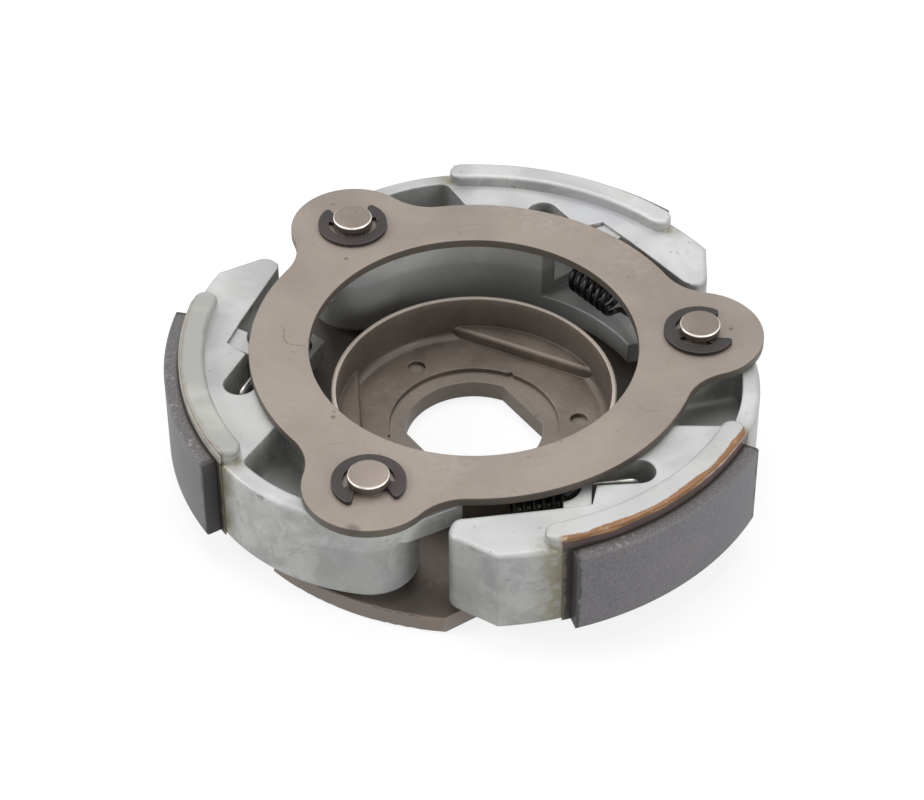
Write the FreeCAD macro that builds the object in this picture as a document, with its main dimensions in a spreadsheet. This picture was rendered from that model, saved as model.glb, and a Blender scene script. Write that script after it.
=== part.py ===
import FreeCAD, Part
import math
import os

import Sketcher

# Three-shoe dry centrifugal clutch, in millimetres.
# The clutch axis is Z. Z = 0 is the back face of the base plate and the open ring side is up.
# Each shoe is drawn where the first one sits, with its pivot pin at PinAngle, and turned into place.

os.makedirs("parts", exist_ok=True)
doc = FreeCAD.newDocument("CentrifugalClutch")
sheet = doc.addObject("Spreadsheet::Sheet", "Dims")

# Driving dimensions
dimensions = [
    # Pivot pins
    ("PinCircle", 45.0),
    ("PinAngle", 30.0),
    ("PinShank", 5.0),
    ("PinSpigot", 4.0),
    ("PinHead", 5.0),
    ("PinProud", 2.5),
    ("PinEdge", 0.35),
    ("SeatGap", 0.02),
    ("RunGap", 0.05),
    ("EndFloat", 0.1),
    # Base plate
    ("PlateThick", 3.9),
    ("PlateRadius", 54.0),
    ("PlateFlat", 41.4),
    ("PlateEdge", 0.4),
    ("BoreRadius", 14.0),
    ("BoreFlatDepth", 1.85),
    ("BoreTurn", 61.0),
    # Hub cup
    ("CupRadius", 28.75),
    ("CupWall", 1.0),
    ("CupHeight", 11.0),
    ("CupCorner", 2.6),
    ("CupHole", 17.3),
    ("CupDot", 1.85),
    ("CupDotReach", 4.1),
    ("CupNotch", 0.55),
    ("CupNotchTurn1", 90.0),
    ("CupNotchTurn2", 217.6),
    ("LedgeHeight", 2.6),
    ("LedgeDepth", 5.6),
    ("LedgeRound", 0.9),
    # Side plate
    ("RingLevel", 24.8),
    ("RingThick", 1.8),
    ("RingInner", 32.7),
    ("RingOuter", 44.6),
    ("LobeRadius", 12.8),
    ("NeckRadius", 11.0),
    ("RingEdge", 0.25),
    # Retaining clip
    ("ClipRadius", 7.15),
    ("ClipThick", 0.9),
    ("ClipRelief", 5.0),
    ("ClipProng", 2.6),
    ("GrooveRadius", 3.5),
    ("GrooveWidth", 1.0),
    ("MouthTip", 2.9),
    ("MouthWide", 5.0),
    # Shoe body
    ("ShoeBottom", 5.6),
    ("ShoeTop", 24.5),
    ("WallRadius", 58.2),
    ("WallStart", 1.1),
    ("HubRadius", 9.3),
    ("HubStep", 7.0),
    ("InnerRadius", 36.2),
    ("InnerStart", 21.6),
    ("CreaseAngle", 59.6),
    ("NoseX", 20.7),
    ("NoseY", 46.4),
    ("NoseRound", 2.9),
    ("NoseTurn", 190.7),
    ("FootRound", 1.0),
    ("TopRound", 1.0),
    # Raised rim on the shoe
    ("RimHeight", 2.7),
    ("RimWidth", 4.8),
    ("RimStart", 1.2),
    ("RimEnd", 47.8),
    ("RimRound", 0.8),
    # Spring channel in the shoe, its corners measured in from the wall or out from the hub side
    ("ChannelFloor", 11.1),
    ("ChannelTurn1", 73.7),
    ("ChannelIn2", 10.5),
    ("ChannelTurn2", 45.9),
    ("ChannelIn3", 8.9),
    ("ChannelTurn3", 37.1),
    ("ChannelOut4", 9.3),
    ("ChannelTurn4", 33.3),
    ("ChannelTurn5", 26.4),
    # Web that stands across the channel, with a hollow side towards the coil
    ("WebX1", 33.8),
    ("WebY1", 30.8),
    ("WebX2", 34.9),
    ("WebY2", 24.9),
    ("WebX3", 36.6),
    ("WebY3", 24.0),
    ("WebHollowX", 30.6),
    ("WebHollowY", 27.2),
    ("WebTurn1", 37.9),
    ("WebTurn2", 44.5),
    ("WebDrop", 0.8),
    # Hook slot in the shoe
    ("SlotFloor", 13.6),
    ("SlotX1", 43.5),
    ("SlotY1", 17.6),
    ("SlotX2", 35.6),
    ("SlotY2", 22.2),
    ("SlotRadius", 3.3),
    # Lightening pocket in the shoe, its outer side following the shoulder
    ("PocketFloor", 16.4),
    ("PocketWall", 3.45),
    ("PocketX1", 41.2),
    ("PocketY1", 4.3),
    ("PocketTurn1", 3.6),
    ("PocketTurn2", 31.3),
    ("PocketX2", 40.4),
    ("PocketY2", 10.8),
    ("PocketRound", 2.2),
    # Spring ear on the pivot end of the shoe
    ("EarX1", 36.0),
    ("EarY1", 29.4),
    ("EarX2", 27.1),
    ("EarY2", 30.3),
    ("EarRadius", 3.4),
    ("EarBottom", 18.2),
    ("EarTop", 22.8),
    ("HookHole", 1.15),
    # Lining
    ("LiningThick", 3.0),
    ("LiningBond", 0.3),
    ("LiningStart", 1.4),
    ("LiningEnd", 45.8),
    ("LiningBottom", 5.8),
    ("LiningTop", 24.2),
    ("LiningEdge", 0.3),
    ("BondPast", 1.7),
    ("BondRise", 2.2),
    # Stop stud and its rubber
    ("StudX", 44.0),
    ("StudRadius", 2.5),
    ("StudHeight", 6.8),
    ("StudEdge", 0.4),
    ("RubberRadius", 4.5),
    ("RubberHeight", 6.4),
    ("RubberEdge", 0.5),
    ("StopSwing", 3.6),
    ("StopDeep", 7.2),
    # Return spring
    ("WireRadius", 0.6),
    ("CoilRadius", 2.9),
    ("CoilTurns", 5.0),
    ("CoilPitch", 1.95),
    ("CoilLevel", 16.6),
    ("CoilX", 30.7),
    ("CoilY", 24.95),
    ("CoilTurn", 36.0),
    ("HookRise", 22.0),
    ("HookSink", 4.0),
    ("HookBend", 1.6),
    ("EarHookRise", 3.2),
    ("EarHookDrop", 1.35),
]
for row, (alias, number) in enumerate(dimensions, start=1):
    sheet.set("A%d" % row, alias)
    sheet.set("B%d" % row, str(number))
    sheet.setAlias("B%d" % row, alias)
doc.recompute()


class Size:
    """A number together with the expression that ties it to the sheet."""

    def __init__(self, number, text):
        self.number = number
        self.text = text

    def __add__(self, other):
        other = as_size(other)
        return Size(self.number + other.number, "(%s + %s)" % (self.text, other.text))

    def __sub__(self, other):
        other = as_size(other)
        return Size(self.number - other.number, "(%s - %s)" % (self.text, other.text))

    def __mul__(self, other):
        other = as_size(other)
        return Size(self.number * other.number, "(%s * %s)" % (self.text, other.text))

    def __truediv__(self, other):
        other = as_size(other)
        return Size(self.number / other.number, "(%s / %s)" % (self.text, other.text))

    def __neg__(self):
        return Size(-self.number, "(0 - %s)" % self.text)


def as_size(value):
    if isinstance(value, Size):
        return value
    return Size(float(value), repr(float(value)))


def dim(alias):
    return Size(float(sheet.get(alias)), "Dims.%s" % alias)


def cos_of(angle):
    return Size(math.cos(math.radians(angle.number)), "cos(%s)" % angle.text)


def sin_of(angle):
    return Size(math.sin(math.radians(angle.number)), "sin(%s)" % angle.text)


def half_angle(near, radius):
    """The angle from the middle of a chord to its end, for a chord this near to the centre."""
    number = math.degrees(math.acos(near.number / radius.number))
    return Size(number, "(acos(%s / %s) / 1 deg)" % (near.text, radius.text))


def polar(radius, angle, centre=None):
    x = radius * cos_of(angle)
    y = radius * sin_of(angle)
    if centre is None:
        return (x, y)
    return (centre[0] + x, centre[1] + y)


def offset(point, shift):
    return (point[0] + shift[0], point[1] + shift[1])


def swung(point, centre, angle):
    """A point turned anticlockwise about a centre."""
    dx = point[0] - centre[0]
    dy = point[1] - centre[1]
    x = centre[0] + dx * cos_of(angle) - dy * sin_of(angle)
    y = centre[1] + dx * sin_of(angle) + dy * cos_of(angle)
    return (x, y)


def bind(thing, prop, size):
    thing.setExpression(prop, size.text)


# Bodies and sketches
def new_body(label, turn=0.0):
    body = doc.addObject("PartDesign::Body", label)
    body.Label = label
    body.Placement = FreeCAD.Placement(
        FreeCAD.Vector(0, 0, 0), FreeCAD.Rotation(FreeCAD.Vector(0, 0, 1), turn)
    )
    return body


def origin_item(body, role):
    return [item for item in body.Origin.OriginFeatures if item.Role == role][0]


def new_sketch(body, name, level=None, role="XY_Plane"):
    sketch = body.newObject("Sketcher::SketchObject", name)
    sketch.AttachmentSupport = (origin_item(body, role), [""])
    sketch.MapMode = "FlatFace"
    if level is not None:
        bind(sketch, "AttachmentOffset.Base.z", level)
    return sketch


def hold(sketch, kind, first, second, size):
    """Pin one coordinate of a sketch point, or a radius, to the sheet."""
    if kind == "Radius":
        index = sketch.addConstraint(Sketcher.Constraint("Radius", first, size.number))
    else:
        index = sketch.addConstraint(
            Sketcher.Constraint(kind, -1, 1, first, second, size.number)
        )
    sketch.setExpression("Constraints[%d]" % index, size.text)


def hold_point(sketch, geometry, position, point):
    x, y = point
    if x.number == 0.0 and y.number == 0.0:
        sketch.addConstraint(Sketcher.Constraint("Coincident", geometry, position, -1, 1))
        return
    if x.number == 0.0:
        sketch.addConstraint(Sketcher.Constraint("PointOnObject", geometry, position, -2))
    else:
        hold(sketch, "DistanceX", geometry, position, x)
    if y.number == 0.0:
        sketch.addConstraint(Sketcher.Constraint("PointOnObject", geometry, position, -1))
    else:
        hold(sketch, "DistanceY", geometry, position, y)


ORIGIN = (as_size(0.0), as_size(0.0))


def circle(sketch, centre, radius):
    middle = FreeCAD.Vector(centre[0].number, centre[1].number, 0)
    index = sketch.addGeometry(
        Part.Circle(middle, FreeCAD.Vector(0, 0, 1), radius.number), False
    )
    hold_point(sketch, index, 3, centre)
    hold(sketch, "Radius", index, 0, radius)


def outline(sketch, vertices, arcs=None, tangent=(), loose=None):
    """Draw a closed outline.

    arcs maps the index of the vertex an arc leaves from to (centre, anticlockwise).
    The vertex where an arc lands is held by one coordinate and by the arc itself,
    so the last edge of an outline is always a straight one.
    tangent names the vertices where two edges run smoothly into each other, and loose
    names those that are placed by their edges alone, which is all the tangent ones if not given.
    """
    arcs = arcs or {}
    loose = tangent if loose is None else loose
    count = len(vertices)
    starts = []
    for i, (x, y) in enumerate(vertices):
        end_x, end_y = vertices[(i + 1) % count]
        a = FreeCAD.Vector(x.number, y.number, 0)
        b = FreeCAD.Vector(end_x.number, end_y.number, 0)
        if i not in arcs:
            starts.append((sketch.addGeometry(Part.LineSegment(a, b), False), 1, 2))
            continue
        centre, anticlockwise = arcs[i]
        middle = FreeCAD.Vector(centre[0].number, centre[1].number, 0)
        round_path = Part.Circle(middle, FreeCAD.Vector(0, 0, 1), (a - middle).Length)
        first, last = (a, b) if anticlockwise else (b, a)
        low = math.atan2(first.y - middle.y, first.x - middle.x)
        high = math.atan2(last.y - middle.y, last.x - middle.x)
        if high <= low:
            high += 2 * math.pi
        index = sketch.addGeometry(Part.ArcOfCircle(round_path, low, high), False)
        starts.append((index, 1, 2) if anticlockwise else (index, 2, 1))
    for i in range(count):
        geometry, begin, end = starts[i]
        after, after_begin, after_end = starts[(i + 1) % count]
        kind = "Tangent" if (i + 1) % count in tangent else "Coincident"
        sketch.addConstraint(Sketcher.Constraint(kind, geometry, end, after, after_begin))
    for i, point in enumerate(vertices):
        geometry, begin, end = starts[i]
        before = (i - 1) % count
        if i in loose:
            pass
        elif before in arcs:
            centre = arcs[before][0]
            reach_x = abs(point[0].number - centre[0].number)
            reach_y = abs(point[1].number - centre[1].number)
            if reach_x < reach_y:
                hold(sketch, "DistanceX", geometry, begin, point[0])
            else:
                hold(sketch, "DistanceY", geometry, begin, point[1])
        else:
            hold_point(sketch, geometry, begin, point)
        if i in arcs:
            hold_point(sketch, geometry, 3, arcs[i][0])


def touching(point, centre, radius, left):
    """Where a straight edge from a point meets a circle it is tangent to."""
    dx = point[0].number - centre[0].number
    dy = point[1].number - centre[1].number
    swing = math.acos(radius.number / math.hypot(dx, dy))
    angle = math.atan2(dy, dx) + (swing if left else -swing)
    x = centre[0].number + radius.number * math.cos(angle)
    y = centre[1].number + radius.number * math.sin(angle)
    return (as_size(x), as_size(y))


def meeting(point, angle, radius):
    """Where a straight edge from a point at an angle meets a circle about the origin."""
    x = point[0].number
    y = point[1].number
    step_x = math.cos(math.radians(angle.number))
    step_y = math.sin(math.radians(angle.number))
    along = x * step_x + y * step_y
    reach = -along - math.sqrt(along**2 - x * x - y * y + radius.number**2)
    return (as_size(x + step_x * reach), as_size(y + step_y * reach))


def obround(sketch, start, finish, radius):
    """A round-ended slot between two centres, its sides held tangent to its ends."""
    dx = finish[0].number - start[0].number
    dy = finish[1].number - start[1].number
    along = math.atan2(dy, dx)
    side = FreeCAD.Vector(-math.sin(along), math.cos(along), 0) * radius.number
    a = FreeCAD.Vector(start[0].number, start[1].number, 0)
    b = FreeCAD.Vector(finish[0].number, finish[1].number, 0)
    up = FreeCAD.Vector(0, 0, 1)
    half = math.pi / 2
    first = sketch.addGeometry(
        Part.ArcOfCircle(Part.Circle(a, up, radius.number), along + half, along + 3 * half), False
    )
    second = sketch.addGeometry(
        Part.ArcOfCircle(Part.Circle(b, up, radius.number), along - half, along + half), False
    )
    left = sketch.addGeometry(Part.LineSegment(a - side, b - side), False)
    right = sketch.addGeometry(Part.LineSegment(b + side, a + side), False)
    sketch.addConstraint(Sketcher.Constraint("Tangent", first, 2, left, 1))
    sketch.addConstraint(Sketcher.Constraint("Tangent", left, 2, second, 1))
    sketch.addConstraint(Sketcher.Constraint("Tangent", second, 2, right, 1))
    sketch.addConstraint(Sketcher.Constraint("Tangent", right, 2, first, 1))
    hold_point(sketch, first, 3, start)
    hold_point(sketch, second, 3, finish)
    hold(sketch, "Radius", first, 0, radius)


def curved_slot(sketch, inner, outer, start, finish):
    """A slot that follows a circle about the origin, with round ends centred at two angles."""
    middle = (inner + outer) * 0.5
    low = polar(middle, start)
    high = polar(middle, finish)
    up = FreeCAD.Vector(0, 0, 1)
    zero = FreeCAD.Vector(0, 0, 0)
    a = math.radians(start.number)
    b = math.radians(finish.number)
    cap = (outer.number - inner.number) / 2
    low_point = FreeCAD.Vector(low[0].number, low[1].number, 0)
    high_point = FreeCAD.Vector(high[0].number, high[1].number, 0)
    half_turn = math.pi
    far = sketch.addGeometry(Part.ArcOfCircle(Part.Circle(zero, up, outer.number), a, b), False)
    end = sketch.addGeometry(
        Part.ArcOfCircle(Part.Circle(high_point, up, cap), b, b + half_turn), False
    )
    near = sketch.addGeometry(Part.ArcOfCircle(Part.Circle(zero, up, inner.number), a, b), False)
    begin = sketch.addGeometry(
        Part.ArcOfCircle(Part.Circle(low_point, up, cap), a + half_turn, a + 2 * half_turn), False
    )
    sketch.addConstraint(Sketcher.Constraint("Tangent", far, 2, end, 1))
    sketch.addConstraint(Sketcher.Constraint("Tangent", end, 2, near, 2))
    sketch.addConstraint(Sketcher.Constraint("Tangent", near, 1, begin, 1))
    sketch.addConstraint(Sketcher.Constraint("Tangent", begin, 2, far, 1))
    hold_point(sketch, far, 3, ORIGIN)
    hold_point(sketch, near, 3, ORIGIN)
    hold(sketch, "Radius", far, 0, outer)
    hold(sketch, "Radius", near, 0, inner)
    for cap_arc, point in ((begin, low), (end, high)):
        if abs(point[0].number) < abs(point[1].number):
            hold(sketch, "DistanceX", cap_arc, 3, point[0])
        else:
            hold(sketch, "DistanceY", cap_arc, 3, point[1])


def pad(body, name, sketch, height, down=False):
    feature = body.newObject("PartDesign::Pad", name)
    feature.Profile = sketch
    feature.Type = 0
    bind(feature, "Length", height)
    feature.Reversed = down
    sketch.Visibility = False
    doc.recompute()
    return feature


def pocket(body, name, sketch, depth=None, up=False):
    """Cut down from the sketch, or up from it; with no depth it cuts right through."""
    before = body.Shape.Volume
    feature = body.newObject("PartDesign::Pocket", name)
    feature.Profile = sketch
    if depth is None:
        feature.Type = 1
        feature.Midplane = True
    else:
        feature.Type = 0
        bind(feature, "Length", depth)
    feature.Reversed = up
    sketch.Visibility = False
    doc.recompute()
    if body.Shape.Volume > before - 0.01:
        raise RuntimeError("%s of %s removes nothing" % (name, body.Label))
    return feature


def polar_copies(body, name, features, count=3):
    feature = body.newObject("PartDesign::PolarPattern", name)
    feature.Originals = features
    feature.Axis = (origin_item(body, "Z_Axis"), [""])
    feature.Angle = 360
    feature.Occurrences = count
    body.Tip = feature
    doc.recompute()
    return feature


def dressed(body, kind, name, base, edges, prop, size):
    feature = body.newObject("PartDesign::" + kind, name)
    feature.Base = (base, edges)
    bind(feature, prop, size)
    doc.recompute()
    if not feature.isValid():
        raise RuntimeError("%s of %s does not build" % (name, body.Label))
    return feature


def pick_edges(feature, test):
    names = []
    for index, edge in enumerate(feature.Shape.Edges, start=1):
        if test(edge):
            names.append("Edge%d" % index)
    if not names:
        raise RuntimeError("no edge found on %s" % feature.Label)
    return names


def upright_at(point, reach=0.2):
    """Test for a vertical edge that stands at a point of the plan."""

    def test(edge):
        if len(edge.Vertexes) != 2:
            return False
        a = edge.Vertexes[0].Point
        b = edge.Vertexes[1].Point
        if math.hypot(a.x - b.x, a.y - b.y) > 0.01:
            return False
        return math.hypot(a.x - point[0].number, a.y - point[1].number) < reach

    return test


def level_edge(edge, z):
    box = edge.BoundBox
    return abs(box.ZMin - z) < 0.01 and abs(box.ZMax - z) < 0.01


def is_round(edge, radius):
    curve = edge.Curve
    return curve.TypeId == "Part::GeomCircle" and abs(curve.Radius - radius) < 0.01


PIN = polar(dim("PinCircle"), dim("PinAngle"))
STUD = (dim("StudX"), as_size(0.0))
PLATE_TOP = dim("PlateThick")
RING_TOP = dim("RingLevel") + dim("RingThick")


# Base plate: a disc cut by three straight sides, with a bore that has two flats
def make_base_plate():
    body = new_body("base_plate")
    disc = new_sketch(body, "PlateDisc")
    circle(disc, ORIGIN, dim("PlateRadius"))
    pad(body, "PlatePad", disc, PLATE_TOP)
    side = new_sketch(body, "PlateSide", PLATE_TOP)
    flat = dim("PlateFlat")
    wide = dim("PlateRadius")
    vertices = [(wide, flat), (wide, wide + 2.0), (-wide, wide + 2.0), (-wide, flat)]
    outline(side, vertices)
    cut = pocket(body, "PlateSideCut", side)
    polar_copies(body, "PlateSides", [cut])
    bore = new_sketch(body, "PlateBore", PLATE_TOP)
    turn = dim("BoreTurn")
    radius = dim("BoreRadius")
    opening = half_angle(radius - dim("BoreFlatDepth"), radius)
    corners = [
        polar(radius, turn + opening),
        polar(radius, turn + 180.0 - opening),
        polar(radius, turn + 180.0 + opening),
        polar(radius, turn + 360.0 - opening),
    ]
    outline(bore, corners, {0: (ORIGIN, True), 2: (ORIGIN, True)})
    pocket(body, "PlateBoreCut", bore)
    feet = new_sketch(body, "PlatePinHoles", PLATE_TOP)
    circle(feet, PIN, dim("PinSpigot") + dim("SeatGap"))
    feet_cut = pocket(body, "PlatePinCut", feet)
    studs = new_sketch(body, "PlateStudHoles", PLATE_TOP)
    circle(studs, STUD, dim("StudRadius") + dim("SeatGap"))
    stud_cut = pocket(body, "PlateStudCut", studs)
    holes = polar_copies(body, "PlateHoles", [feet_cut, stud_cut])
    seat = (dim("PinSpigot") + dim("SeatGap")).number
    lower = pick_edges(holes, lambda e: level_edge(e, 0.0) and is_round(e, seat))
    sunk = dressed(
        body, "Chamfer", "PlateSinks", holes, lower, "Size", dim("PinHead") - dim("PinSpigot")
    )
    outside = dim("PlateRadius").number
    rounds = pick_edges(sunk, lambda e: is_round(e, outside))
    dressed(body, "Fillet", "PlateRim", sunk, rounds, "Radius", dim("PlateEdge"))
    return body


# Hub cup: a thin pressing with a pierced floor, a drawn wall and three pressed ledges
def make_hub_cup():
    body = new_body("hub_cup")
    profile = new_sketch(body, "CupProfile", role="XZ_Plane")
    outer = dim("CupRadius")
    wall = dim("CupWall")
    top = PLATE_TOP + dim("CupHeight")
    floor = PLATE_TOP + wall
    hole = dim("CupHole")
    vertices = [
        (hole, PLATE_TOP),
        (outer, PLATE_TOP),
        (outer, top),
        (outer - wall, top),
        (outer - wall, floor),
        (hole, floor),
    ]
    outline(profile, vertices)
    shell = body.newObject("PartDesign::Revolution", "CupShell")
    shell.Profile = profile
    shell.ReferenceAxis = (profile, ["V_Axis"])
    shell.Angle = 360
    profile.Visibility = False
    doc.recompute()
    heel = pick_edges(
        shell, lambda e: level_edge(e, PLATE_TOP.number) and is_round(e, outer.number)
    )
    outside = dressed(body, "Fillet", "CupHeel", shell, heel, "Radius", dim("CupCorner"))
    inner = (outer - wall).number
    inside = pick_edges(
        outside, lambda e: level_edge(e, floor.number) and is_round(e, inner)
    )
    rounded = dressed(
        body, "Fillet", "CupInside", outside, inside, "Radius", dim("CupCorner") - wall
    )
    lip = pick_edges(
        rounded, lambda e: level_edge(e, top.number) and is_round(e, outer.number)
    )
    lipped = dressed(body, "Fillet", "CupLip", rounded, lip, "Radius", wall * 0.4)
    # Crescent ledges along the wall, straight and well rounded on their inner side
    ledge_radius = outer - wall * 0.5
    opening = half_angle(ledge_radius - dim("LedgeDepth"), ledge_radius)
    quarter = as_size(90.0)
    ledge = new_sketch(body, "CupLedge", floor)
    corners = [polar(ledge_radius, quarter - opening), polar(ledge_radius, quarter + opening)]
    outline(ledge, corners, {0: (ORIGIN, True)})
    raised = pad(body, "CupLedgePad", ledge, dim("LedgeHeight"))
    dot = new_sketch(body, "CupDotHole", floor)
    circle(dot, polar(hole + dim("CupDotReach"), dim("PinAngle")), dim("CupDot"))
    dot_cut = pocket(body, "CupDotCut", dot)
    pressed = polar_copies(body, "CupPresswork", [raised, dot_cut])
    ledge_top = (floor + dim("LedgeHeight")).number
    fronts = pick_edges(
        pressed, lambda e: level_edge(e, ledge_top) and e.Curve.TypeId == "Part::GeomLine"
    )
    dressed(body, "Fillet", "CupLedgeRound", pressed, fronts, "Radius", dim("LedgeRound"))
    # Two small notches in the edge of the floor's hole
    notch = new_sketch(body, "CupNotches", floor)
    for angle in (dim("CupNotchTurn1"), dim("CupNotchTurn2")):
        circle(notch, polar(hole, angle), dim("CupNotch"))
    pocket(body, "CupNotchCut", notch)
    return body


# Side plate: a flat ring with three lobes
def make_side_plate():
    body = new_body("side_plate")
    disc = new_sketch(body, "RingDisc", dim("RingLevel"))
    circle(disc, ORIGIN, dim("RingOuter"))
    pad(body, "RingPad", disc, dim("RingThick"))
    lobe = new_sketch(body, "RingLobe", dim("RingLevel"))
    circle(lobe, PIN, dim("LobeRadius"))
    lobe_pad = pad(body, "RingLobePad", lobe, dim("RingThick"))
    lobes = polar_copies(body, "RingLobes", [lobe_pad])
    outer = dim("RingOuter").number
    middle = (RING_TOP.number + dim("RingLevel").number) / 2

    def neck(edge):
        box = edge.BoundBox
        upright = box.XLength < 0.01 and box.YLength < 0.01
        centre = edge.BoundBox.Center
        return upright and abs(centre.z - middle) < 0.1 and centre.x**2 + centre.y**2 > 9.0

    necks = pick_edges(lobes, neck)
    smooth = dressed(body, "Fillet", "RingNecks", lobes, necks, "Radius", dim("NeckRadius"))
    opening = new_sketch(body, "RingOpening", RING_TOP)
    circle(opening, ORIGIN, dim("RingInner"))
    pocket(body, "RingOpeningCut", opening)
    hole = new_sketch(body, "RingPinHole", RING_TOP)
    circle(hole, PIN, dim("PinSpigot") + dim("SeatGap"))
    hole_cut = pocket(body, "RingPinCut", hole)
    holes = polar_copies(body, "RingPinHoles", [hole_cut])
    inner = dim("RingInner").number
    rims = pick_edges(
        holes,
        lambda e: level_edge(e, RING_TOP.number) and (is_round(e, inner) or is_round(e, outer)),
    )
    dressed(body, "Fillet", "RingRim", holes, rims, "Radius", dim("RingEdge"))
    return body


# Pivot pin: a stepped pin riveted in the base plate, grooved above the side plate
def make_pin(label, turn):
    body = new_body(label, turn)
    profile = new_sketch(body, "PinProfile", role="XZ_Plane")
    shank = dim("PinShank")
    spigot = dim("PinSpigot")
    head = dim("PinHead")
    top = RING_TOP + dim("PinProud")
    vertices = [
        (as_size(0.0), as_size(0.0)),
        (head - dim("SeatGap"), as_size(0.0)),
        (spigot, head - spigot),
        (spigot, PLATE_TOP),
        (shank, PLATE_TOP),
        (shank, dim("RingLevel")),
        (spigot, dim("RingLevel")),
        (spigot, top),
        (as_size(0.0), top),
    ]
    outline(profile, vertices)
    turned = body.newObject("PartDesign::Revolution", "PinTurned")
    turned.Profile = profile
    turned.ReferenceAxis = (profile, ["V_Axis"])
    turned.Angle = 360
    profile.Visibility = False
    doc.recompute()
    cut_profile = new_sketch(body, "PinGrooveProfile", role="XZ_Plane")
    groove_top = RING_TOP + dim("GrooveWidth")
    outline(
        cut_profile,
        [
            (dim("GrooveRadius"), RING_TOP),
            (shank, RING_TOP),
            (shank, groove_top),
            (dim("GrooveRadius"), groove_top),
        ],
    )
    before = body.Shape.Volume
    groove = body.newObject("PartDesign::Groove", "PinGroove")
    groove.Profile = cut_profile
    groove.ReferenceAxis = (cut_profile, ["V_Axis"])
    groove.Angle = 360
    cut_profile.Visibility = False
    doc.recompute()
    if body.Shape.Volume > before - 0.01:
        raise RuntimeError("the groove of %s removes nothing" % label)
    crown = pick_edges(
        groove, lambda e: level_edge(e, top.number) and is_round(e, spigot.number)
    )
    dressed(body, "Fillet", "PinCrown", groove, crown, "Radius", dim("PinEdge"))
    move_to(body, PIN, turn)
    return body


def move_to(body, point, turn, spin=0.0):
    """Stand a body on its own axis at a point of the plan, then turn it about the clutch axis."""
    about = FreeCAD.Rotation(FreeCAD.Vector(0, 0, 1), turn)
    place = about.multVec(FreeCAD.Vector(point[0].number, point[1].number, 0))
    body.Placement = FreeCAD.Placement(
        place, FreeCAD.Rotation(FreeCAD.Vector(0, 0, 1), turn + spin)
    )


# Retaining clip: an open spring-steel ring with three prongs that reach into the pin's groove
def make_clip(label, turn, spin):
    body = new_body(label)
    ring = new_sketch(body, "ClipRing", RING_TOP)
    circle(ring, ORIGIN, dim("ClipRadius"))
    circle(ring, ORIGIN, dim("ClipRelief"))
    pad(body, "ClipPad", ring, dim("ClipThick"))
    prong = new_sketch(body, "ClipProng", RING_TOP)
    half = dim("ClipProng") * 0.5
    outer = (dim("ClipRadius") + dim("ClipRelief")) * 0.5
    inner = dim("GrooveRadius") * 0.5
    outline(prong, [(-outer, -half), (-inner, -half), (-inner, half), (-outer, half)])
    prong_pad = pad(body, "ClipProngPad", prong, dim("ClipThick"))
    polar_copies(body, "ClipProngs", [prong_pad])
    seat = new_sketch(body, "ClipSeat", RING_TOP + dim("ClipThick"))
    circle(seat, ORIGIN, dim("GrooveRadius") + dim("SeatGap"))
    pocket(body, "ClipSeatCut", seat)
    mouth = new_sketch(body, "ClipMouth", RING_TOP + dim("ClipThick"))
    tip = dim("MouthTip")
    wide = dim("MouthWide")
    reach = dim("ClipRadius") + 1.0
    near = dim("GrooveRadius") * 0.5
    outline(mouth, [(near, -tip), (reach, -wide), (reach, wide), (near, tip)])
    pocket(body, "ClipMouthCut", mouth)
    tips = pick_edges(
        body.Tip,
        lambda e: e.BoundBox.XLength < 0.01
        and e.BoundBox.YLength < 0.01
        and math.hypot(e.BoundBox.Center.x, e.BoundBox.Center.y) > dim("ClipRadius").number - 0.1,
    )
    dressed(body, "Fillet", "ClipTips", body.Tip, tips, "Radius", dim("ClipThick") * 0.8)
    move_to(body, PIN, turn, spin)
    return body


# How far out from the axis the shoulder arc is centred, so that it touches the wall and the hub
SHOULDER_IN = dim("WallRadius") - dim("HubRadius")
SHOULDER_LEAN = dim("PinCircle") * cos_of(dim("PinAngle") + dim("WallStart"))
SHOULDER_OUT = (SHOULDER_IN * SHOULDER_IN - dim("PinCircle") * dim("PinCircle")) / (
    (SHOULDER_IN - SHOULDER_LEAN) * 2.0
)


def shoulder_centre():
    return polar(SHOULDER_OUT, -dim("WallStart"))


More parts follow.
